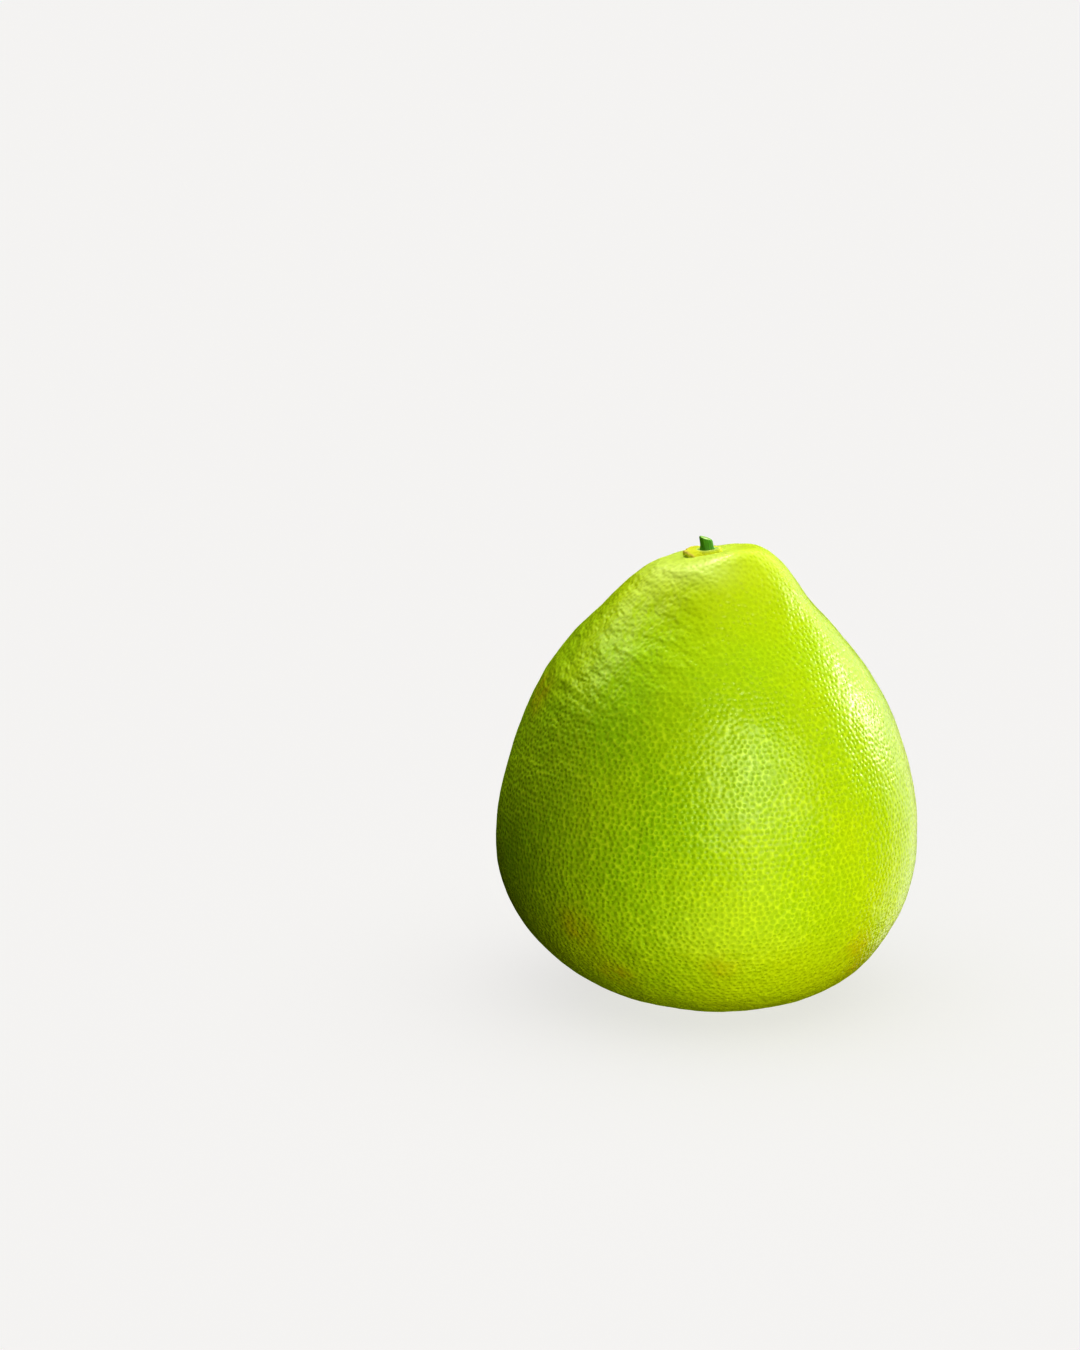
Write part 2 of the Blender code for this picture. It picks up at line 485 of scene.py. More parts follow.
class Skin:
    """The fruit's outer surface as a formula of azimuth and of the share of the way from stem to base."""

    ROUND_STEPS = 361
    LONG_STEPS = 401
    FLANK_STEPS = 400
    CROWN_STEPS = 200
    CROWN_SHARE = 0.3                  # the crown ends before this share of the way from stem to base

    def __init__(self, sizes: SkinSizes) -> None:
        """Prepares the outline and the middle line, and centres the shape on the CAD fruit.

        Args:
            sizes: the fruit's driving sizes.
        """
        self.sizes = sizes
        points = np.array(sizes.profile)
        mirrored = points * (-1, 1)
        # Both ends run on into their mirror image, so that the curve crosses the axis level.
        both = np.concatenate([mirrored[:0:-1], points, mirrored[-2::-1]])
        chords = np.hypot(*np.diff(both, axis=0).T)
        knots = np.concatenate([[0.0], np.cumsum(np.sqrt(chords))])
        self.outline = Spline(knots, both)
        self.start = knots[len(points) - 1]
        self.length = knots[2 * len(points) - 2] - self.start
        heights, shifts = zip(*sizes.centre_line)
        self.middle_line = Spline(heights, [[shift] for shift in shifts])
        self.place = np.zeros(3)
        azimuth, share = np.meshgrid(
            np.linspace(-math.pi, math.pi, self.ROUND_STEPS), np.linspace(0, 1, self.LONG_STEPS))
        whole = self.points(azimuth, share).reshape(-1, 3)
        low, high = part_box("fruit")
        self.place[:2] = ((np.array(low) + np.array(high)) / 2 - (whole.min(0) + whole.max(0)) / 2)[:2]

    def profile(self, share: Array) -> tuple[Array, Array]:
        """Radius and height of the outline at a share of the way from stem to base."""
        point = self.outline.at(self.start + np.asarray(share) * self.length)
        return point[..., 0], point[..., 1]

    def ease(self, height: Array, start: float) -> Array:
        """0 below a height, then rising to 1 at the top of the crown."""
        return np.clip((height - start) / (self.sizes.crown_end - start), 0, 1) ** 2

    def smooth(self, azimuth: Array, share: Array) -> Array:
        """Makes the leaning, tilted fruit, before its ribs and swellings.

        Args:
            azimuth: angles round the axis, in radians.
            share: shares of the way from stem to base.

        Returns:
            One row of x, y, z for each.
        """
        sizes = self.sizes
        radius, height = self.profile(share)
        height = np.maximum(height, sizes.floor)
        x = radius * np.cos(azimuth)
        y = radius * np.sin(azimuth)
        tilt = self.ease(height, sizes.tilt_start) * (sizes.tilt[0] * x + sizes.tilt[1] * y)
        x = x + self.middle_line.at(height)[..., 0]
        y = y + sizes.lean * self.ease(height, sizes.lean_start)
        return np.stack([x, y, height + tilt], -1)

    def share_at_height(self, height: float) -> Array:
        """Finds where the flank passes a height.

        Args:
            height: the height above the base.

        Returns:
            The share of the way from stem to base.
        """
        shares = np.linspace(0, 1, self.FLANK_STEPS)
        heights = self.profile(shares)[1]
        top = np.argmax(heights)
        return np.interp(-height, -heights[top:], shares[top:])

    def share_at_radius(self, radius: Array) -> Array:
        """Share of the way from stem to base at which the crown passes a radius."""
        shares = np.linspace(0, self.CROWN_SHARE, self.CROWN_STEPS)
        return np.interp(radius, self.profile(shares)[0], shares)

    def rib_rise(self, azimuth: Array, share: Array) -> Array:
        """Works out how far the soft ribs under the crown stand out.

        Args:
            azimuth: angles round the axis, in radians.
            share: shares of the way from stem to base.

        Returns:
            A rise for each.
        """
        sizes = self.sizes
        radius, height = self.profile(share)
        wave = np.cos(sizes.rib_count * azimuth + sizes.rib_turn + sizes.rib_sway * np.sin(azimuth))
        fade = np.clip(radius / sizes.rib_free_radius, 0, 1) ** 2
        near = np.exp(-((height - sizes.rib_height) / sizes.rib_spread) ** 2 / 2)
        return sizes.rib_rise * wave * fade * near

    def swelling_rise(self, points: Array) -> Array:
        """Works out how far the soft swellings stand out, and the dents go in.

        Args:
            points: points of the smooth fruit.

        Returns:
            A rise for each.
        """
        total = np.zeros(points.shape[:-1])
        for item in self.sizes.swellings:
            centre = self.smooth(math.radians(item.azimuth), self.share_at_height(item.height))
            distance = np.linalg.norm(points - centre, axis=-1)
            total += item.rise * np.exp(-(distance / item.spread) ** 2 / 2)
        return total

    def points(self, azimuth: Array, share: Array) -> Array:
        """Points of the skin.

        Args:
            azimuth: angles round the axis, in radians.
            share: shares of the way from stem to base.

        Returns:
            One row of x, y, z for each.
        """
        points = self.smooth(azimuth, share)
        outward = points - self.sizes.heart
        outward /= np.linalg.norm(outward, axis=-1, keepdims=True)
        points = points + outward * (self.rib_rise(azimuth, share) + self.swelling_rise(points))[..., None]
        points[..., 2] = np.maximum(points[..., 2], self.sizes.floor)
        return points + self.place

    def on_crown(self, azimuth: Array, radius: Array, lift: Array) -> Array:
        """Finds points that stand above the skin of the crown.

        Args:
            azimuth: angles round the axis, in radians.
            radius: distances from the axis.
            lift: heights above the skin.

        Returns:
            One row of x, y, z for each.
        """
        points = self.points(azimuth, self.share_at_radius(radius))
        points[..., 2] += lift
        return points

    def at_height(self, azimuth: float, height: float) -> tuple[float, float, float]:
        """A point of the flank, from its azimuth in degrees and its height."""
        point = self.points(np.array(math.radians(azimuth)), self.share_at_height(height))
        return tuple(float(value) for value in point)

    def foot(self) -> tuple[float, float, float]:
        """The middle of the base."""
        return tuple(float(value) for value in self.points(np.array(0.0), np.array(1.0)))


class RoundMap:
    """A map of the skin on a unit sphere that keeps angles, so that even spacing can be judged on it."""

    POLE_STEPS = 6000
    BELLY = 0.059                      # the fruit's widest height is the map's equator
    LEAST_RADIUS = 1e-9
    LEAST_TANGENT = 1e-12

    def __init__(self, skin: Skin) -> None:
        """Tabulates the map along the outline.

        Args:
            skin: the fruit's surface.
        """
        self.skin = skin
        turn = np.linspace(0, math.pi, self.POLE_STEPS)[1:-1]
        self.shares = (1 - np.cos(turn)) / 2
        radius, height = skin.profile(self.shares)
        radius = np.maximum(radius, self.LEAST_RADIUS)
        ground = np.hypot(np.diff(radius), np.diff(height))
        mean = (radius[1:] + radius[:-1]) / 2
        self.lengths = np.concatenate([[0.0], np.cumsum(ground / mean)])
        self.lengths -= np.interp(skin.share_at_height(self.BELLY), self.shares, self.lengths)

    def directions(self, azimuth: Array, share: Array) -> Array:
        """Unit directions that stand for points of the skin."""
        polar = 2 * np.arctan(np.exp(np.interp(share, self.shares, self.lengths)))
        return np.stack([np.sin(polar) * np.cos(azimuth), np.sin(polar) * np.sin(azimuth), np.cos(polar)], -1)

    def points(self, directions: Array) -> Array:
        """Finds the points of the skin that directions stand for.

        Args:
            directions: unit directions.

        Returns:
            One row of x, y, z for each.
        """
        azimuth = np.arctan2(directions[:, 1], directions[:, 0])
        across = np.hypot(directions[:, 0], directions[:, 1])
        polar = np.arctan2(across, directions[:, 2])
        length = np.log(np.maximum(np.tan(polar / 2), self.LEAST_TANGENT))
        return self.skin.points(azimuth, np.interp(length, self.lengths, self.shares))

    def triangles(self, directions: Array) -> Array:
        """Joins directions into the triangles of a closed net, each with the emptiest circle round it.

        Args:
            directions: unit directions, of which the last is the base's pole.

        Returns:
            Three point numbers for each triangle, anticlockwise as seen from outside.
        """
        others = directions[:-1]
        flat = others[:, :2] / (1 + others[:, 2:])
        made = delaunay_2d_cdt([Vector(point) for point in flat], [], [], 0, 1e-9)
        net = np.array([list(face) for face in made[2]])
        side = flat[net[:, 1:]] - flat[net[:, :1]]
        clockwise = side[:, 0, 0] * side[:, 1, 1] < side[:, 0, 1] * side[:, 1, 0]
        net[clockwise] = net[clockwise][:, ::-1]
        starts, ends, _, lonely = edge_partners(net, len(directions))
        # The net's free edge runs round the base's pole, which closes it.
        cap = np.stack([ends[lonely], starts[lonely], np.full(lonely.sum(), len(directions) - 1)], 1)
        return np.concatenate([net, cap])


def edge_partners(net: Array, count: int) -> tuple[Array, Array, Array, Array]:
    """Finds the triangle on the other side of every directed edge of a net.

    Args:
        net: three point numbers for each triangle.
        count: number of points.

    Returns:
        Start point, end point, number of the triangle across, and whether there is none.
    """
    starts = net.ravel()
    ends = net[:, [1, 2, 0]].ravel()
    keys = starts.astype(np.int64) * count + ends
    wanted = ends.astype(np.int64) * count + starts
    order = np.argsort(keys)
    place = np.clip(np.searchsorted(keys[order], wanted), 0, len(keys) - 1)
    partner = order[place]
    lonely = keys[partner] != wanted
    return starts, ends, partner // 3, lonely


@dataclass(frozen=True)
class Blotch:
    """A faint ripening patch on the rind: where it is and how wide and strong."""

    azimuth: float
    height: float
    radius: float
    strength: float


@dataclass(frozen=True)
class RindFinish:
    """Pomelo rind, grown: a thin natural wax over green flesh that is packed with round oil glands.

    The wax gives broad soft highlights that the pits break up into arcs of small glints. The glands are
    wide soft dots, darker than the thin light net between them, which is broken up and fades under the
    crown. The upper left is wrinkled. A pale painted sheen lies on the top of the crown, most on its left,
    and the colour is painted yellower towards the lit right and greener on the shaded left.
    """

    net_green: str = "#CFF22C"
    net_yellow: str = "#DAEE16"
    gland_green: str = "#9ACD05"
    gland_yellow: str = "#C9DD06"
    ripe: str = "#D8A800"
    # pale is the colour of the painted sheen, a pale haze on the crown that stands in for a soft highlight
    pale: str = "#D6EC84"
    scar: str = "#7A5B22"
    gland_share: tuple[float, float] = (0.629, 0.851)  # the dot's radius as a share of its cell's, by tone
    dot_fade: tuple[float, float] = (1.50, 0.55)       # where the dot starts and is full, in its own radius
    net_gap: float = 1.7 * MM          # the light net between the glands is broken up this finely
    net_breaks: tuple[float, float, float] = (0.38, 0.66, 0.85)     # start, end and strength, by noise
    mean_dot: float = 0.58             # how dark the skin is on average, from the net at 0 to the glands at 1
    contrast: Band = Band(Axis.Z, 0.090, 0.140, 1.0, 0.45)     # net and dots fade to the mean under the crown
    pit_depth: float = 0.19 * MM
    pit_span: tuple[float, float] = (0.06, 1.05)       # from its flat middle to its edge, in cell radii
    uneven_size: float = 2.8 * MM
    uneven_depth: float = 0.36 * MM
    grain_size: float = 0.6 * MM
    grain_depth: float = 0.012 * MM
    wrinkle_size: float = 5.5 * MM
    wrinkle_depth: float = 1.3 * MM
    wrinkle_fall: float = -32.0        # degrees that the wrinkles fall by from left to right
    wrinkle_stretch: tuple[float, float, float] = (0.26, 0.5, 1.0)
    wrinkled: tuple[Band, ...] = (Band(Axis.Z, 0.092, 0.125), Band(Axis.X, 0.030, -0.020, 0.2))
    pits_left: float = 0.45            # share of the pits' depth that is left where the skin is wrinkled
    mottle_size: float = 34 * MM
    patch_size: float = 7 * MM
    yellowing_and_painted_light: tuple[Band, ...] = (     # painted light and shade: yellower to the lit right, greener to the shaded left; also yellower round the stem and near the base
        # painted light and shade: the colour goes from green on the shaded left to yellow on the lit right
        Band(Axis.X, -0.075, 0.075, -0.37, 0.27, soft=False),
        Band(Axis.Z, 0.128, 0.162, 0.0, 0.50),
        Band(Axis.Z, 0.060, 0.010, 0.0, 0.32),
    )
    roughness: tuple[float, float] = (0.22, 0.31)
    patch_span: tuple[float, float] = (0.3, 0.7)       # noise at the waxiest and at the dullest
    blotch_breaks: tuple[float, float, float] = (0.35, 0.65, 1.2)   # start, end and strength, by noise
    dullness: Band = Band(Axis.Z, 0.142, 0.160, 0.0, 0.20)     # the wax is rubbed dull round the stem
    # painted sheen: a pale haze on the top of the crown, strongest on its left, standing in for a soft
    # highlight
    painted_sheen: tuple[Band, ...] = (Band(Axis.Z, 0.151, 0.160, 0.0, 0.45), Band(Axis.X, 0.016, 0.0, 0.1))
    ior: float = 1.37
    coat: float = 0.12
    coat_roughness: float = 0.15
    scar_fade: tuple[float, float, float] = (4.6 * MM, 2.4 * MM, 0.9)       # start, end and strength
    blotches: tuple[Blotch, ...] = (
        Blotch(-32.0, 0.018, 0.015, 0.42),
        Blotch(-40.0, 0.030, 0.011, 0.36),
        Blotch(-86.0, 0.030, 0.011, 0.24),
        Blotch(-128.0, 0.040, 0.013, 0.36),
        Blotch(-120.0, 0.022, 0.012, 0.38),
        Blotch(-168.0, 0.112, 0.014, 0.45),
        Blotch(60.0, 0.050, 0.012, 0.45),
        Blotch(140.0, 0.090, 0.010, 0.35),
    )

    def material(self, skin: Skin) -> Material:
        """Builds the rind's material.

        Args:
            skin: the surface that the blotches are placed on.

        Returns:
            The material.
        """
        graph = MaterialTree("waxy pomelo rind")
        nearness = self._gland_distance(graph)
        shine = graph.add(NOISE, {"Vector": graph.place, "Scale": 1 / self.patch_size, "Detail": 3.0})
        patchy = graph.add(MAP_RANGE, {
            "Value": shine, "From Min": self.patch_span[0], "From Max": self.patch_span[1],
            "To Min": self.roughness[0], "To Max": self.roughness[1]})
        roughness = graph.add(
            MATH, {"Value": patchy, "Value_001": graph.zone(self.dullness)}, operation="ADD")
        return graph.finished({
            "Base Color": self._colour(graph, nearness, skin), "Roughness": roughness,
            "Normal": self._relief(graph, nearness), "IOR": self.ior,
            "Coat Weight": self.coat, "Coat Roughness": self.coat_roughness})

    def _gland_distance(self, graph: MaterialTree) -> Socket:
        """Measures how far each place is from the nearest gland's middle.

        Args:
            graph: the material's tree.

        Returns:
            The distance as a share of the gland's cell.
        """
        centre = graph.add("ShaderNodeAttribute", out="Vector", attribute_name="gland_centre")
        radius = graph.add("ShaderNodeAttribute", out="Fac", attribute_name="gland_radius")
        offset = graph.add(
            VECTOR_MATH, {"Vector": graph.place, "Vector_001": centre}, "Value", operation="DISTANCE")
        return graph.add(MATH, {"Value": offset, "Value_001": radius}, operation="DIVIDE")

    def _colour(self, graph: MaterialTree, nearness: Socket, skin: Skin) -> Socket:
        """Colours net and glands by yellowing and painted side light, then lays painted sheen, ripe patches
        and scar.

        Args:
            graph: the material's tree.
            nearness: distance from the nearest gland, as a share of its cell.
            skin: the surface that the blotches and the scar are placed on.

        Returns:
            The rind's colour.
        """
        yellow = self._yellowing_and_painted_light(graph)
        net = graph.layered(self.net_green, (yellow, self.net_yellow))
        gland = graph.layered(self.gland_green, (yellow, self.gland_yellow))
        # the pale layer over the crown is a painted sheen
        return graph.layered(
            net, (self._dots(graph, nearness), gland), (graph.zone(*self.painted_sheen), self.pale),
            (self._blotch_mask(graph, skin), self.ripe),
            (graph.disc(skin.foot(), *self.scar_fade), self.scar))

    def _dots(self, graph: MaterialTree, nearness: Socket) -> Socket:
        """Darkens the skin over the glands and where the light net is broken, less and less under the crown.

        Args:
            graph: the material's tree.
            nearness: distance from the nearest gland, as a share of its cell.

        Returns:
            How dark the skin is, from the net at 0 to the glands at 1.
        """
        tone = graph.add("ShaderNodeAttribute", out="Fac", attribute_name="gland_tone")
        edge = graph.add(MAP_RANGE, {
            "Value": tone, "To Min": self.gland_share[0], "To Max": self.gland_share[1]})
        outer, inner = [
            graph.add(MATH, {"Value": edge, "Value_001": share}, operation="MULTIPLY")
            for share in self.dot_fade]
        dot = graph.add(MAP_RANGE, {"Value": nearness, "From Min": outer, "From Max": inner}, **SOFT)
        gaps = graph.add(NOISE, {"Vector": graph.place, "Scale": 1 / self.net_gap, "Detail": 1.0})
        start, end, strength = self.net_breaks
        gaps = graph.add(MAP_RANGE, {
            "Value": gaps, "From Min": start, "From Max": end, "To Max": strength}, **SOFT)
        dot = graph.add(MATH, {"Value": dot, "Value_001": gaps}, operation="MAXIMUM")
        away = graph.add(MATH, {"Value": dot, "Value_001": self.mean_dot}, operation="SUBTRACT")
        return graph.add(MATH, {
            "Value": away, "Value_001": graph.zone(self.contrast), "Value_002": self.mean_dot},
            operation="MULTIPLY_ADD")

    def _yellowing_and_painted_light(self, graph: MaterialTree) -> Socket:
        """Works out how yellow the skin is: mottled, more round the stem and near the base, and painted light
        and shade, yellower to the lit right and greener to the shaded left.

        Args:
            graph: the material's tree.

        Returns:
            The yellowness from 0 to 1.
        """
        total = graph.add(NOISE, {
            "Vector": graph.place, "Scale": 1 / self.mottle_size, "Detail": 4.0, "Roughness": 0.55})
        for band in self.yellowing_and_painted_light:
            total = graph.add(MATH, {"Value": total, "Value_001": graph.zone(band)}, operation="ADD")
        return graph.add("ShaderNodeClamp", {"Value": total})

    def _blotch_mask(self, graph: MaterialTree, skin: Skin) -> Socket:
        """Makes the ripe patches: soft discs whose edges and insides are broken up by noise.

        Args:
            graph: the material's tree.
            skin: the surface that the blotches are placed on.

        Returns:
            The patches' strength.
        """
        ragged = graph.add(NOISE, {
            "Vector": graph.place, "Scale": 1 / self.patch_size, "Detail": 5.0, "Roughness": 0.65})
        start, end, strength = self.blotch_breaks
        broken = graph.add(MAP_RANGE, {
            "Value": ragged, "From Min": start, "From Max": end, "To Max": strength})
        total = 0.0
        for blotch in self.blotches:
            middle = skin.at_height(blotch.azimuth, blotch.height)
            disc = graph.disc(middle, blotch.radius, 0.0, blotch.strength)
            total = graph.add(MATH, {"Value": total, "Value_001": disc}, operation="ADD")
        return graph.add(MATH, {"Value": total, "Value_001": broken}, operation="MULTIPLY", use_clamp=True)

    def _relief(self, graph: MaterialTree, nearness: Socket) -> Socket:
        """Shapes round pits over the glands, and adds unevenness, the wax's grain and wrinkles.

        Args:
            graph: the material's tree.
            nearness: distance from the nearest gland, as a share of its cell.

        Returns:
            The normal.
        """
        wrinkled = graph.zone(*self.wrinkled)
        inner = graph.add(MAP_RANGE, {
            "Value": nearness, "From Min": self.pit_span[0], "From Max": self.pit_span[1],
            "To Min": 1.0, "To Max": 0.0})
        pit = graph.add(MATH, {"Value": inner, "Value_001": inner}, operation="MULTIPLY")
        depth = graph.add(MAP_RANGE, {
            "Value": wrinkled, "To Min": -self.pit_depth, "To Max": -self.pit_depth * self.pits_left})
        height = graph.add(MATH, {"Value": pit, "Value_001": depth}, operation="MULTIPLY")
        for size, depth in ((self.uneven_size, self.uneven_depth), (self.grain_size, self.grain_depth)):
            noise = graph.add(NOISE, {"Vector": graph.place, "Scale": 1 / size, "Detail": 1.0})
            height = graph.add(
                MATH, {"Value": noise, "Value_001": depth, "Value_002": height}, operation="MULTIPLY_ADD")
        wrinkles = graph.add(
            MATH, {"Value": self._wrinkles(graph), "Value_001": self.wrinkle_depth}, operation="MULTIPLY")
        height = graph.add(
            MATH, {"Value": wrinkles, "Value_001": wrinkled, "Value_002": height}, operation="MULTIPLY_ADD")
        return graph.add("ShaderNodeBump", {"Strength": 1.0, "Distance": 1.0, "Height": height}, "Normal")

    def _wrinkles(self, graph: MaterialTree) -> Socket:
        """Makes the pattern of the long shallow wrinkles, which fall a little from left to right.

        Args:
            graph: the material's tree.

        Returns:
            The pattern from 0 to 1.
        """
        turned = graph.add("ShaderNodeMapping", {
            "Vector": graph.place, "Rotation": (0.0, math.radians(self.wrinkle_fall), 0.0)})
        squeezed = graph.add("ShaderNodeMapping", {"Vector": turned, "Scale": self.wrinkle_stretch})
        return graph.add(NOISE, {
            "Vector": squeezed, "Scale": 1 / self.wrinkle_size, "Detail": 2.0, "Roughness": 0.6})


@dataclass
class Rind:
    """The whole skin of the fruit, made of one cell round each oil gland."""

    CORNERS = 3                        # each face has one gland and two corners of its cell

    skin: Skin
    finish: RindFinish = field(default_factory=RindFinish)
    gland_gap: float = 1.75 * MM       # no two glands start nearer than this
    gland_crowding: float = 3.0e6      # trial places per square metre, of which the gap leaves a few
    seed: int = 11
    evening_rounds: int = 1
    evening_pull: float = 0.20
    pole_gap: float = 1.0 * MM         # nearest gland to the middle of the base
    pit_depth: float = 0.14 * MM
    pit_variation: float = 0.4
    swell_height: float = 0.26 * MM
    swell_size: float = 7 * MM
    ripple_height: float = 0.40 * MM
    ripple_size: float = 20 * MM
    scar_depth: float = 0.7 * MM
    scar_radius: float = 3.6 * MM
    base_segments: int = 220
    base_rings: int = 150

    def build(self) -> Object:
        """Makes the rind and shows it in the CAD fruit's place."""
        material = self.finish.material(self.skin)
        round_map = RoundMap(self.skin)
        directions = self._spread_glands(round_map, material)
        mesh = self._relief_tree(material).applied(self._cells(round_map, directions), "pomelo_rind")
        return piece_of(mesh, Slot.RIND, "fruit")

    def _spread_glands(self, round_map: RoundMap, material: Material) -> Array:
        """Places the glands and evens them out a little, as they crowd each other while the fruit grows.

        Args:
            round_map: the map of the skin on a sphere.
            material: the rind's material.

        Returns:
            A unit direction for each gland, the base's pole last.
        """
        azimuth = np.arange(self.base_segments) * FULL_TURN / self.base_segments
        share = np.linspace(0, 1, self.base_rings + 1)[1:-1]
        azimuth, share = np.meshgrid(azimuth, share)
        points = self.skin.points(azimuth, share).reshape(-1, 3)
        mesh = mesh_of("gland ground", points, ring_faces(self.base_rings - 1, self.base_segments))
        give(mesh, "direction", round_map.directions(azimuth, share).reshape(-1, 3))
        scattered = self._scatter_tree(material).applied(mesh, "glands")
        directions = unit(taken(scattered, "direction"))
        bpy.data.meshes.remove(scattered)
        pole = np.array([[0.0, 0.0, -1.0]])
        base = round_map.points(pole)
        far = np.linalg.norm(round_map.points(directions) - base, axis=1) > self.pole_gap
        directions = np.concatenate([directions[far], pole])
        for _ in range(self.evening_rounds):
            net = round_map.triangles(directions)
            starts, ends, _, _ = edge_partners(net, len(directions))
            total = np.zeros_like(directions)
            np.add.at(total, starts, directions[ends])
            mean = total / np.bincount(starts, minlength=len(directions))[:, None]
            moved = directions + self.evening_pull * (mean - directions)
            directions[:-1] = unit(moved[:-1])
        log.info("glands: %d", len(directions))
        return directions

    def _scatter_tree(self, material: Material) -> GeometryTree:
        """Makes the tree that scatters a vertex for each gland over the skin.

        Args:
            material: the rind's material.

        Returns:
            The tree; no two of its vertices are nearer than a gap.
        """
        tree = GeometryTree("gland scatter", {
            "Gap": self.gland_gap, "Crowding": self.gland_crowding, "Seed": self.seed, "Material": material})
        points = tree.add("GeometryNodeDistributePointsOnFaces", {
            "Mesh": tree.given("Geometry"), "Distance Min": tree.given("Gap"),
            "Density Max": tree.given("Crowding"), "Seed": tree.given("Seed")}, distribute_method="POISSON")
        tree.close(tree.add("GeometryNodePointsToVertices", {"Points": points}))
        return tree

    def _cells(self, round_map: RoundMap, directions: Array) -> Mesh:
        """Builds a closed skin with a fan of faces round each gland.

        Args:
            round_map: the map of the skin on a sphere.
            directions: a unit direction for each gland.

        Returns:
            The mesh, with each gland's marker and cell radius as attributes of its points.
        """
        net = round_map.triangles(directions)
        count = len(directions)
        corners = unit(directions[net].sum(1))
        points = np.concatenate([round_map.points(directions), round_map.points(corners)])
        starts, _, across, _ = edge_partners(net, count)
        own = np.repeat(np.arange(len(net)), self.CORNERS)
        faces = np.stack([starts, count + across, count + own], 1)
        reach = np.linalg.norm(points[faces[:, 1]] - points[starts], axis=1)
        radius = np.bincount(starts, reach, count) / np.bincount(starts, minlength=count)
        mesh = mesh_of("gland cells", points, faces)
        none = np.zeros(len(corners))
        give(mesh, "gland", np.concatenate([np.ones(count), none]))
        give(mesh, "cell_radius", np.concatenate([radius, none]))
        return mesh

    def _relief_tree(self, material: Material) -> GeometryTree:
        """Makes the tree that sinks the pits, swells the skin and tells each face its gland's place and size.

        Args:
            material: the rind's material.

        Returns:
            The tree.
        """
        tree = GeometryTree("rind relief", {
            "Pit depth": self.pit_depth, "Pit variation": self.pit_variation,
            "Swell height": self.swell_height, "Swell size": self.swell_size,
            "Ripple height": self.ripple_height, "Ripple size": self.ripple_size,
            "Scar place": self.skin.foot(), "Scar depth": self.scar_depth, "Scar radius": self.scar_radius,
            "Seed": self.seed, "Material": material})
        gland, radius = [
            tree.add("GeometryNodeInputNamedAttribute", {"Name": name}, data_type="FLOAT")
            for name in ("gland", "cell_radius")]
        tone = tree.add(
            "FunctionNodeRandomValue", {"Seed": tree.given("Seed")}, "Value_001", data_type="FLOAT")
        offset = tree.add(VECTOR_MATH, {
            "Vector": tree.add("GeometryNodeInputNormal"), "Scale": self._lift(tree, gland, tone)},
            operation="SCALE")
        moved = tree.add("GeometryNodeSetPosition", {"Geometry": tree.given("Geometry"), "Offset": offset})
        moved = self._on_the_floor(tree, moved)
        position = tree.add("GeometryNodeInputPosition")
        centre = tree.add(VECTOR_MATH, {"Vector": position, "Scale": gland}, operation="SCALE")
        own_tone = tree.add(MATH, {"Value": tone, "Value_001": gland}, operation="MULTIPLY")
        facts = (("gland_centre", "FLOAT_VECTOR", centre), ("gland_radius", "FLOAT", radius),
                 ("gland_tone", "FLOAT", own_tone))
        for name, kind, value in facts:
            moved = self._told_to_faces(tree, moved, name, kind, value)
        tree.close(tree.add("GeometryNodeSetShadeSmooth", {"Geometry": moved}))
        return tree

    def _lift(self, tree: GeometryTree, gland: Socket, tone: Socket) -> Socket:
        """Works out how far points move out: in at the pits and the scar, up and down over the swells.

        Args:
            tree: the tree that is being built.
            gland: 1 at the glands and 0 at the cells' corners.
            tone: a random value for each point.

        Returns:
            The distance along the normal.
        """
        position = tree.add("GeometryNodeInputPosition")
        lift = tree.add(MAP_RANGE, {"Value": tone, "To Min": 1.0, "To Max": tree.given("Pit variation")})
        for share in (tree.given("Pit depth"), gland, -1.0):
            lift = tree.add(MATH, {"Value": lift, "Value_001": share}, operation="MULTIPLY")
        for name in ("Swell", "Ripple"):
            size = tree.given(name + " size")
            scale = tree.add(MATH, {"Value": 1.0, "Value_001": size}, operation="DIVIDE")
            noise = tree.add(NOISE, {"Vector": position, "Scale": scale, "Detail": 1.0})
            wave = tree.add(MAP_RANGE, {"Value": noise, "To Min": -1.0, "To Max": 1.0}, clamp=False)
            lift = tree.add(MATH, {
                "Value": wave, "Value_001": tree.given(name + " height"), "Value_002": lift},
                operation="MULTIPLY_ADD")
        distance = tree.add(
            VECTOR_MATH, {"Vector": position, "Vector_001": tree.given("Scar place")}, "Value",
            operation="DISTANCE")
        dimple = tree.add(MAP_RANGE, {
            "Value": distance, "From Min": tree.given("Scar radius"), "From Max": 0.0,
            "To Max": tree.given("Scar depth")}, **SOFT)
        return tree.add(MATH, {"Value": lift, "Value_001": dimple}, operation="SUBTRACT")

    def _on_the_floor(self, tree: GeometryTree, geometry: Socket) -> Socket:
        """Keeps every point on or above the surface that the fruit stands on.

        Args:
            tree: the tree that is being built.
            geometry: the geometry so far.

        Returns:
            The geometry with its points moved.
        """
        position = tree.add("GeometryNodeInputPosition")
        parts = tree.add("ShaderNodeSeparateXYZ", {"Vector": position}).node.outputs
        height = tree.add(
            MATH, {"Value": parts["Z"], "Value_001": self.skin.sizes.floor}, operation="MAXIMUM")
        position = tree.add("ShaderNodeCombineXYZ", {"X": parts["X"], "Y": parts["Y"], "Z": height})
        return tree.add("GeometryNodeSetPosition", {"Geometry": geometry, "Position": position})

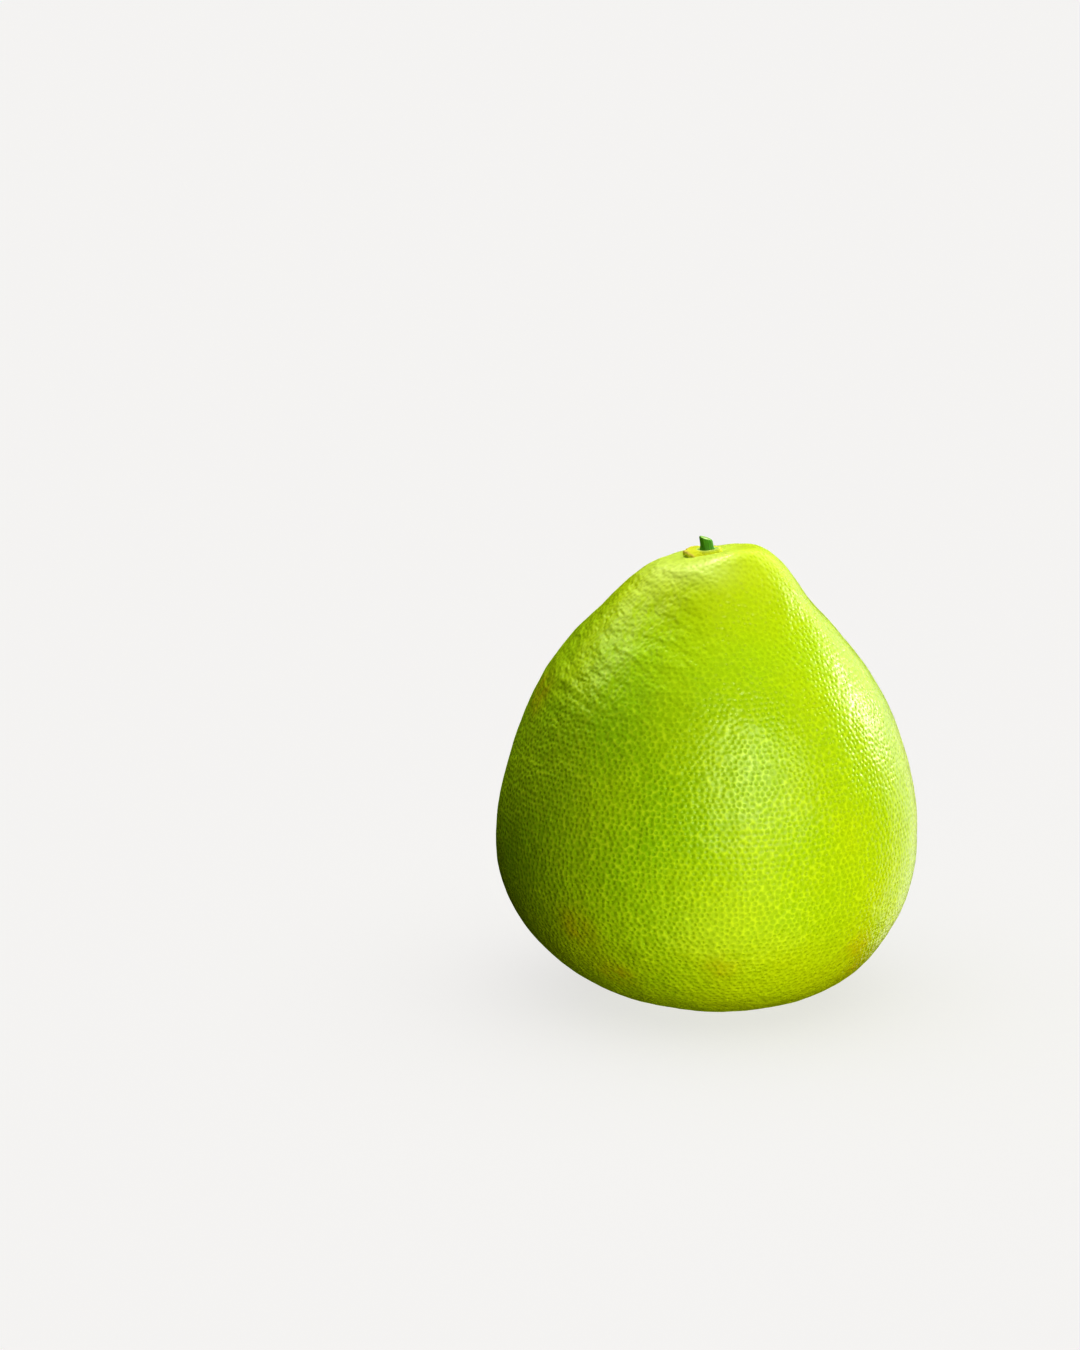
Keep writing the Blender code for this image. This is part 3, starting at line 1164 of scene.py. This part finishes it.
    def _told_to_faces(self, tree: GeometryTree, geometry: Socket, name: str, kind: str,
                       value: Socket) -> Socket:
        """Stores on every face what its one gland point holds.

        The other two corners hold 0, so the face's mean is a third of the gland's value.

        Args:
            tree: the tree that is being built.
            geometry: the geometry so far.
            name: the attribute's name.
            kind: the attribute's data type.
            value: a field that is 0 at every point which isn't a gland.

        Returns:
            The geometry with the attribute.
        """
        noted = name + "_at_points"
        geometry = tree.add(
            "GeometryNodeStoreNamedAttribute", {"Geometry": geometry, "Name": noted, "Value": value},
            domain=Domain.POINT.value, data_type=kind)
        mean = tree.add("GeometryNodeInputNamedAttribute", {"Name": noted}, data_type=kind)
        if kind == "FLOAT":
            whole = tree.add(MATH, {"Value": mean, "Value_001": float(self.CORNERS)}, operation="MULTIPLY")
        else:
            whole = tree.add(VECTOR_MATH, {"Vector": mean, "Scale": float(self.CORNERS)}, operation="SCALE")
        geometry = tree.add(
            "GeometryNodeStoreNamedAttribute", {"Geometry": geometry, "Name": name, "Value": whole},
            domain=Domain.FACE.value, data_type=kind)
        return tree.add("GeometryNodeRemoveAttribute", {"Geometry": geometry, "Name": noted})


def unit(rows: Array) -> Array:
    """Rows scaled to length 1."""
    return rows / np.linalg.norm(rows, axis=-1, keepdims=True)


def ring_faces(rings: int, segments: int) -> Array:
    """Four-cornered faces between rings of points, from the top ring down, seen from outside.

    Args:
        rings: number of rings.
        segments: points in each ring.

    Returns:
        Four point numbers for each face.
    """
    ring, segment = np.meshgrid(np.arange(rings - 1), np.arange(segments), indexing="ij")
    after = (segment + 1) % segments
    upper, lower = ring * segments, (ring + 1) * segments
    faces = np.stack([upper + segment, lower + segment, lower + after, upper + after], -1)
    return faces.reshape(-1, 4)


def closed_mesh(name: str, rings: Array) -> Mesh:
    """Makes a closed mesh from rings of points, with a fan of triangles at each end.

    Args:
        name: the mesh's name.
        rings: points by ring and segment, from the top ring down; the first and last ring are single
            points that every segment shares.

    Returns:
        The mesh, shaded smooth.
    """
    count, segments = rings.shape[:2]
    points = np.concatenate([rings[1:-1].reshape(-1, 3), rings[:1, 0], rings[-1:, 0]])
    top, bottom = len(points) - 2, len(points) - 1
    here = np.arange(segments)
    after = (here + 1) % segments
    last = (count - 3) * segments
    quads = ring_faces(count - 2, segments)
    halves = np.concatenate([quads[:, [0, 1, 2]], quads[:, [0, 2, 3]]])
    crown = np.stack([np.full(segments, top), here, after], 1)
    foot = np.stack([np.full(segments, bottom), last + after, last + here], 1)
    return mesh_of(name, points, np.concatenate([halves, crown, foot]))


def ring_values(values: Array) -> Array:
    """Lays values by ring and segment out in the order of closed_mesh's points."""
    return np.concatenate([values[1:-1].ravel(), values[:1, 0], values[-1:, 0]])


@dataclass(frozen=True)
class SepalFinish:
    """Dried citrus calyx: shrunken woody sepals, matt, olive yellow with a straw-brown edge.

    Fine fibres run outwards from the stem, and the collar round the stem is a paler green.
    """

    body: str = "#DEDC0C"
    young: str = "#C8D61C"
    edge: str = "#D6BE62"
    collar: str = "#C8DE80"
    edge_fade: tuple[float, float, float] = (0.86, 1.0, 0.70)       # start, end and strength, by reach
    collar_fade: tuple[float, float, float] = (0.56, 0.40, 0.9)
    patch_size: float = 2.5 * MM
    fibre_size: float = 0.45 * MM
    fibre_depth: float = 0.06 * MM
    roughness: float = 0.72
    ior: float = 1.45

    def material(self) -> Material:
        """Builds the calyx's material: patchy sepals, then their edge, then the collar over them."""
        graph = MaterialTree("dried citrus sepals")
        reach = graph.add("ShaderNodeAttribute", out="Fac", attribute_name="reach")
        around = graph.add("ShaderNodeAttribute", out="Vector", attribute_name="around")
        patches = graph.add(NOISE, {"Vector": graph.place, "Scale": 1 / self.patch_size, "Detail": 4.0})
        rim, near = [
            graph.add(MAP_RANGE, {
                "Value": reach, "From Min": start, "From Max": end, "To Max": strength}, **SOFT)
            for start, end, strength in (self.edge_fade, self.collar_fade)]
        fibres = graph.add(NOISE, {"Vector": around, "Scale": 1.0, "Detail": 3.0, "Roughness": 0.6})
        normal = graph.add(
            "ShaderNodeBump", {"Strength": 1.0, "Distance": self.fibre_depth, "Height": fibres}, "Normal")
        colour = graph.layered(self.young, (patches, self.body), (rim, self.edge), (near, self.collar))
        return graph.finished({
            "Base Color": colour, "Roughness": self.roughness, "Normal": normal, "IOR": self.ior})


@dataclass
class Calyx:
    """The dried button of five sepals that the stem grows out of."""

    skin: Skin
    finish: SepalFinish = field(default_factory=SepalFinish)
    radius: float = 8.6 * MM
    lobes: int = 5
    lobe_reach: float = 0.22
    lobe_roundness: float = 0.7        # 1 would give each lobe the form of a sine wave
    lobe_mean: float = 0.72
    tears: tuple[Wave, ...] = (Wave(17, 0.018, 1.0), Wave(31, 0.012, 2.0))
    turn: float = 0.9
    section: tuple[tuple[float, float], ...] = (       # radius and height: seat, collar, sepals, rim
        (0.0, 0.9 * MM), (3.2 * MM, 0.9 * MM), (3.9 * MM, 1.8 * MM), (4.6 * MM, 1.548 * MM),
        (6.45 * MM, 0.81 * MM), (8.6 * MM, 0.6 * MM),
    )
    curl: float = 0.55 * MM            # how far the dried edges have lifted
    mean_curl: float = 0.55
    lobe_curl: float = 0.30
    side_curl: Wave = Wave(2, 0.15, 0.4)
    curl_ramp: tuple[float, float] = (0.62, 1.0)       # every ramp is from one reach to another
    prop: float = 1.1 * MM             # how much thicker the free side is than the overgrown one
    prop_ramp: tuple[float, float] = (0.35, 0.75)
    dive: float = 2.0 * MM             # how far the overgrown side dips under the rind
    dive_ramp: tuple[float, float] = (0.38, 0.68)
    free_side: float = 2.62            # azimuth of the middle of the free side, at the left and the back
    free_ramp: tuple[float, float] = (0.70, 1.0)
    overgrown_ramp: tuple[float, float] = (0.18, 0.76)         # the free side is 0, the side across is 1
    sink: float = 0.35 * MM            # how far the underside is grown into the rind
    gap: float = 0.15 * MM             # how far the free edge's underside is off the rind, besides its curl
    rib_height: float = 0.12 * MM
    rib_ramp: tuple[float, float] = (0.45, 0.6)
    wrinkles: tuple[Wave, ...] = (Wave(23, 0.07 * MM, 0.0, 4.0), Wave(41, 0.042 * MM))
    wrinkle_ramp: tuple[float, float] = (0.4, 0.7)
    edge_round: float = 0.18 * MM
    edge_ramp: tuple[float, float] = (0.94, 1.0)
    under_reach: float = 0.8           # the underside is dressed as if it ended before the dry edge
    fibre_length: float = 1 / 3        # the fibres' length as a share of the radius
    segments: int = 220
    top_rings: int = 34
    under_rings: int = 12

    def build(self) -> Object:
        """Makes the calyx and shows it in the CAD calyx's place."""
        azimuth = np.arange(self.segments) * FULL_TURN / self.segments
        top = np.linspace(0, 1, self.top_rings)
        under = np.linspace(1, 0, self.under_rings)
        reach = np.concatenate([top, under])[:, None] * np.ones_like(azimuth)
        above = np.concatenate([np.ones_like(top), np.zeros_like(under)])[:, None] > 0.5
        around = np.broadcast_to(azimuth, reach.shape)
        radius = reach * self.radius * self._outline(around, reach)
        lift = np.where(above, self._top(around, reach), self._underside(around, reach))
        mesh = closed_mesh("calyx_button", self.skin.on_crown(around, radius, lift))
        give(mesh, "reach", ring_values(np.where(above, reach, self.under_reach * reach)))
        mesh.materials.append(self.finish.material())
        fibres = (around * self.radius / self.finish.fibre_size, reach / self.fibre_length, 0 * reach)
        give(mesh, "around", np.stack([ring_values(values) for values in fibres], -1))
        return piece_of(mesh, Slot.CALYX, "calyx")

    def _outline(self, azimuth: Array, reach: Array) -> Array:
        """Shapes the button's edge: five round lobes with sharp notches between them, and small tears.

        Args:
            azimuth: angles round the axis, in radians.
            reach: shares of the way from the middle to the edge.

        Returns:
            The edge as a share of the button's radius.
        """
        wave = np.abs(np.cos((self.lobes * azimuth + self.turn) / 2))
        tips = self.lobe_reach * (wave ** self.lobe_roundness - self.lobe_mean)
        torn = sum(tear.at(azimuth, reach) for tear in self.tears)
        return 1 + (tips + torn) * reach ** 2

    def _tips(self, azimuth: Array) -> Array:
        """A wave that is 1 at the lobes' tips and -1 at the notches."""
        return np.cos(self.lobes * azimuth + self.turn)

    def _curl(self, azimuth: Array, reach: Array) -> Array:
        """Lift of the dried edge, more at some tips than at others."""
        share = self.mean_curl + self.lobe_curl * self._tips(azimuth) + self.side_curl.at(azimuth, reach)
        return self.curl * share * rise(reach, *self.curl_ramp) * (1 - self._overgrown(azimuth))

    def _overgrown(self, azimuth: Array) -> Array:
        """How far the rind has grown over the edge: fully opposite the free side, not at all on it."""
        return rise((1 - np.cos(azimuth - self.free_side)) / 2, *self.overgrown_ramp)

    def _dip(self, azimuth: Array, reach: Array) -> Array:
        """How far the button, top and underside alike, dips under the rind on its overgrown side."""
        return self.dive * self._overgrown(azimuth) * rise(reach, *self.dive_ramp)

    def _top(self, azimuth: Array, reach: Array) -> Array:
        """Shapes the upper face: seat, collar, then down to the edge.

        Args:
            azimuth: angles round the axis, in radians.
            reach: shares of the way from the middle to the edge.

        Returns:
            The height above the skin.
        """
        slope = np.interp(reach * self.radius, *zip(*self.section))
        ribs = self.rib_height * self._tips(azimuth) * rise(reach, *self.rib_ramp)
        folds = sum(wave.at(azimuth, reach) for wave in self.wrinkles) * rise(reach, *self.wrinkle_ramp)
        edge = -self.edge_round * rise(reach, *self.edge_ramp)
        propped = self.prop * (1 - self._overgrown(azimuth)) * rise(reach, *self.prop_ramp)
        return slope + ribs + folds + edge + propped + self._curl(azimuth, reach) - self._dip(azimuth, reach)

    def _underside(self, azimuth: Array, reach: Array) -> Array:
        """Shapes the lower face: grown into the rind, and free at the lifted edge.

        Args:
            azimuth: angles round the axis, in radians.
            reach: shares of the way from the middle to the edge.

        Returns:
            The height above the skin.
        """
        free = rise(reach, *self.free_ramp) * (1 - self._overgrown(azimuth))
        lifted = (self._curl(azimuth, reach) + self.gap) * free
        return lifted - self.sink * (1 - free) - self._dip(azimuth, reach)


@dataclass(frozen=True)
class BarkFinish:
    """Young citrus twig: smooth dark green bark with fine lengthwise ridges, cut to pale green wood."""

    bark: str = "#2F7A06"
    bark_light: str = "#74B81E"
    wood: str = "#A9CF6B"
    pith: str = "#D9E8B0"
    ridge_size: float = 0.5 * MM
    ridge_depth: float = 0.08 * MM
    ridge_stretch: tuple[float, float, float] = (1.0, 1.0, 0.22)
    pith_edge: tuple[float, float] = (0.45, 0.25)
    roughness: float = 0.58
    ior: float = 1.45

    def material(self) -> Material:
        """Builds the stem's material: streaked bark on the side, wood round the pith on the cut."""
        graph = MaterialTree("green citrus twig")
        cut, reach = [
            graph.add("ShaderNodeAttribute", out="Fac", attribute_name=name) for name in ("cut", "reach")]
        squeezed = graph.add("ShaderNodeMapping", {"Vector": graph.place, "Scale": self.ridge_stretch})
        streaks = graph.add(NOISE, {
            "Vector": squeezed, "Scale": 1 / self.ridge_size, "Detail": 3.0, "Roughness": 0.6})
        core = graph.add(MAP_RANGE, {
            "Value": reach, "From Min": self.pith_edge[0], "From Max": self.pith_edge[1]}, **SOFT)
        wood = graph.layered(self.wood, (core, self.pith))
        colour = graph.layered(self.bark, (streaks, self.bark_light), (cut, wood))
        normal = graph.add(
            "ShaderNodeBump", {"Strength": 1.0, "Distance": self.ridge_depth, "Height": streaks}, "Normal")
        return graph.finished({
            "Base Color": colour, "Roughness": self.roughness, "Normal": normal, "IOR": self.ior})


@dataclass
class StemStub:
    """The short stub that is left of the stem, cut off at a slant."""

    skin: Skin
    finish: BarkFinish = field(default_factory=BarkFinish)
    foot_radius: float = 2.8 * MM
    top_radius: float = 2.3 * MM
    tall: float = 4.8 * MM
    lean: tuple[float, float] = (-0.9 * MM, 0.3 * MM)
    cut_slope: float = 0.30
    seat: float = 0.6 * MM             # the foot is grown into the calyx a little
    ridges: tuple[Wave, ...] = (Wave(9, 0.05 * MM, 0.0, 0.8), Wave(16, 0.03 * MM, 2.0), Wave(29, 0.02 * MM))
    ridge_start: float = 0.5           # share of the radius past which the ridges are felt
    flare_end: float = 0.5             # share of the height over which the foot narrows
    edge_round: float = 0.22 * MM
    edge_start: float = 0.93
    bark_rim: float = 0.9              # past this share of the cut's radius its face is bark
    dish: float = 0.18 * MM            # the cut face has dried a little hollow
    segments: int = 96
    side_rings: int = 22
    cut_rings: int = 12
    foot_rings: int = 4

    def build(self) -> Object:
        """Makes the stem stub and shows it in the CAD stem's place."""
        azimuth = np.arange(self.segments) * FULL_TURN / self.segments
        round_it = np.ones((1, self.segments))
        cut = np.linspace(0, 1, self.cut_rings)
        side = np.linspace(1, 0, self.side_rings)
        foot = np.linspace(1, 0, self.foot_rings)[1:]
        reach = np.concatenate([cut, np.ones_like(side), foot])[:, None] * round_it
        up = np.concatenate([np.ones_like(cut), side, np.zeros_like(foot)])[:, None] * round_it
        around = np.broadcast_to(azimuth, reach.shape)
        radius = reach * self._bark_radius(around, up, reach)
        x, y = radius * np.cos(around), radius * np.sin(around)
        ground = self.skin.on_crown(around, 0 * radius, 0 * radius)
        height = self.seat + up * (self.tall - self.cut_slope * x) - self._worn(up, reach)
        points = ground + np.stack([x + up * self.lean[0], y + up * self.lean[1], height], -1)
        mesh = closed_mesh("stem_stub", points)
        on_cut = np.concatenate([np.ones_like(cut), 0 * side, 0 * foot])[:, None] * round_it
        give(mesh, "cut", ring_values(np.where(reach > self.bark_rim, 0.0, on_cut)))
        give(mesh, "reach", ring_values(reach))
        mesh.materials.append(self.finish.material())
        return piece_of(mesh, Slot.STEM, "stem")

    def _bark_radius(self, azimuth: Array, up: Array, reach: Array) -> Array:
        """Shapes the bark: tapered, flared at the foot, with lengthwise ridges and a worn top edge.

        Args:
            azimuth: angles round the axis, in radians.
            up: shares of the way from the foot to the cut.
            reach: shares of the way from the middle to the bark.

        Returns:
            The stub's radius.
        """
        taper = self.foot_radius + (self.top_radius - self.foot_radius) * rise(up, 0, self.flare_end)
        ridges = sum(wave.at(azimuth, up) for wave in self.ridges) * rise(reach, self.ridge_start, 1)
        return taper + ridges - self.edge_round * rise(up, self.edge_start, 1)

    def _worn(self, up: Array, reach: Array) -> Array:
        """How far the cut face lies below a flat cut: a shallow dish."""
        return np.where(up == 1, self.dish * (1 - reach ** 2), 0.0)


@dataclass(frozen=True)
class Softbox:
    """A soft rectangular light: where it is as seen from the fruit, how large it looks and how bright.

    Azimuth 0 is the camera's side and rises to the right; all angles are in degrees.
    """

    name: str
    azimuth: float
    elevation: float
    width: float
    height: float
    radiance: float
    colour: str = "#FFFFFF"
    distance: float = 1.6


@dataclass
class Studio:
    """Pale floor, soft lights and the camera at the photograph's angle."""

    look_at: tuple[float, float, float] = (0.0, 0.0, 0.082)
    camera_elevation: float = 15.0
    camera_distance: float = 1.3364
    aim_offset: tuple[float, float] = (-0.0598, 0.0323)   # right and up, so that the fruit stands off centre
    lens: float = 100.0
    sensor: float = 36.0
    gamma: float = 0.75                # the photograph's contrast is stronger than a plain one
    floor_size: float = 60.0
    floor_colour: str = "#F7F6F5"
    floor_glow: float = 0.85           # share of the floor's brightness that doesn't depend on light
    floor_roughness: float = 0.95
    floor_light_angle: float = 100.0
    farthest: float = 200.0            # the camera sees the whole floor
    backdrop: str = "#F4F4F4"
    softboxes: tuple[Softbox, ...] = (
        Softbox("window at the right", 122, 14, 12, 12, 14.5, "#EFF8FF"),
        Softbox("window at the right, upper pane", 116, 26, 10, 12, 4.4, "#EFF8FF"),
        Softbox("front", 24, 20, 13, 15, 3.6),
        Softbox("front, upper pane", 30, 31, 14, 14, 5.0),
        Softbox("soft front", 30, 20, 56, 28, 2.5),
        Softbox("soft front, low", 30, -8, 30, 26, 2.2, "#F6F2A8"),
        Softbox("top back", -165, 62, 13, 13, 26.0),
        Softbox("overhead", 180, 78, 30, 26, 2.9),
        Softbox("left, high", -105, 40, 20, 20, 2.0),
        Softbox("left back", -135, 48, 30, 26, 2.0),
        Softbox("right back, high", 150, 32, 30, 26, 1.6),
        Softbox("bounce from the table in front", 20, -42, 60, 40, 1.7, "#F2EE90"),
        Softbox("warm bounce at the left", -122, 34, 36, 30, 0.9, "#F2E34A"),
        Softbox("right back", 138, -4, 44, 56, 1.1),
    )

    def build(self, pieces: Sequence[Object]) -> None:
        """Sets up floor, lights and camera.

        Args:
            pieces: the fruit's pieces, which the softboxes light.
        """
        scene = bpy.context.scene
        scene.view_settings.view_transform = "Standard"
        scene.view_settings.gamma = self.gamma
        floor = self._floor()
        self._backdrop()
        lit = bpy.data.collections.new("lit by the softboxes")
        for piece in pieces:
            lit.objects.link(piece)
        for softbox in self.softboxes:
            self._add_softbox(softbox, lit)
        self._light_floor(floor)
        self._camera()

    def _floor(self) -> Object:
        """Makes a wide, plain, pale floor that the fruit doesn't mirror, most of whose light is its own.

        Returns:
            The floor.
        """
        half = self.floor_size / 2
        corners = np.array([(-half, -half, 0), (half, -half, 0), (half, half, 0), (-half, half, 0)], float)
        mesh = mesh_of("floor", corners, np.array([[0, 1, 2, 3]]))
        colour = linear(self.floor_colour)
        mesh.materials.append(MaterialTree("matt white paper").finished({
            "Base Color": (*[value * (1 - self.floor_glow) for value in colour[:3]], 1.0),
            "Roughness": self.floor_roughness, "Specular IOR Level": 0.0,
            "Emission Color": colour, "Emission Strength": self.floor_glow}))
        floor = shown("floor", mesh)
        for way in ("diffuse", "glossy", "shadow"):
            setattr(floor, "visible_" + way, False)
        return floor

    def _backdrop(self) -> None:
        """Makes the pale surroundings past the floor, seen by the camera only."""
        world = bpy.data.worlds.new("pale studio")
        world.use_nodes = True
        world.node_tree.nodes["Background"].inputs["Color"].default_value = linear(self.backdrop)
        for way in ("diffuse", "glossy", "transmission", "scatter"):
            setattr(world.cycles_visibility, way, False)
        bpy.context.scene.world = world

    def _place(self, azimuth: float, elevation: float, distance: float) -> Vector:
        """Turns a direction and a distance from the fruit into an offset.

        Args:
            azimuth: angle from the camera's side, in degrees.
            elevation: angle above the floor, in degrees.
            distance: distance from the fruit.

        Returns:
            The offset.
        """
        turn, tip = math.radians(azimuth), math.radians(elevation)
        flat = distance * math.cos(tip)
        return Vector((math.sin(turn) * flat, -math.cos(turn) * flat, math.sin(tip) * distance))

    def _add_softbox(self, softbox: Softbox, lit: bpy.types.Collection) -> None:
        """Adds one softbox that lights only the pieces in a collection.

        Args:
            softbox: the softbox.
            lit: what it lights.
        """
        light = bpy.data.lights.new(softbox.name, "AREA")
        light.shape = "RECTANGLE"
        light.size = 2 * softbox.distance * math.tan(math.radians(softbox.width / 2))
        light.size_y = 2 * softbox.distance * math.tan(math.radians(softbox.height / 2))
        # An area light of power P and area A shines with P / (4 A).
        light.energy = 4 * light.size * light.size_y * softbox.radiance
        light.color = linear(softbox.colour)[:3]
        offset = self._place(softbox.azimuth, softbox.elevation, softbox.distance)
        lamp = shown(softbox.name, light)
        lamp.location = Vector(self.look_at) + offset
        lamp.rotation_mode = "QUATERNION"
        lamp.rotation_quaternion = offset.to_track_quat("Z", "Y")
        lamp.light_linking.receiver_collection = lit

    def _light_floor(self, floor: Object) -> None:
        """Adds one very soft overhead light for the floor alone, which brings it up to its full brightness.

        Args:
            floor: the floor.
        """
        lit = bpy.data.collections.new("lit from above")
        lit.objects.link(floor)
        sun = bpy.data.lights.new("floor light", "SUN")
        sun.energy = math.pi
        sun.angle = math.radians(self.floor_light_angle)
        lamp = shown("floor light", sun)
        lamp.location = (0, 0, 2)
        lamp.light_linking.receiver_collection = lit

    def _camera(self) -> None:
        """Adds the camera, aimed so that the fruit stands where the photograph's 1080 x 1350 frame has it."""
        data = bpy.data.cameras.new("camera")
        data.lens = self.lens
        data.sensor_width = self.sensor
        data.clip_end = self.farthest
        camera = shown("camera", data)
        back = self._place(0, self.camera_elevation, self.camera_distance)
        camera.location = Vector(self.look_at) + back
        tip = math.radians(self.camera_elevation)
        upward = Vector((0, math.sin(tip), math.cos(tip)))
        aim = Vector(self.look_at) + Vector((self.aim_offset[0], 0, 0)) + upward * self.aim_offset[1]
        camera.rotation_mode = "QUATERNION"
        camera.rotation_quaternion = (camera.location - aim).to_track_quat("Z", "Y")
        bpy.context.scene.camera = camera


def main() -> None:
    """Loads the frame, then builds and dresses the rind, the calyx and the stem, and sets up the studio."""
    logging.basicConfig(level=logging.INFO, format="%(name)s: %(message)s")
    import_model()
    skin = Skin(SkinSizes())
    pieces = [part.build() for part in (Rind(skin), Calyx(skin), StemStub(skin))]
    Studio().build(pieces)


if __name__ == "__main__":
    main()
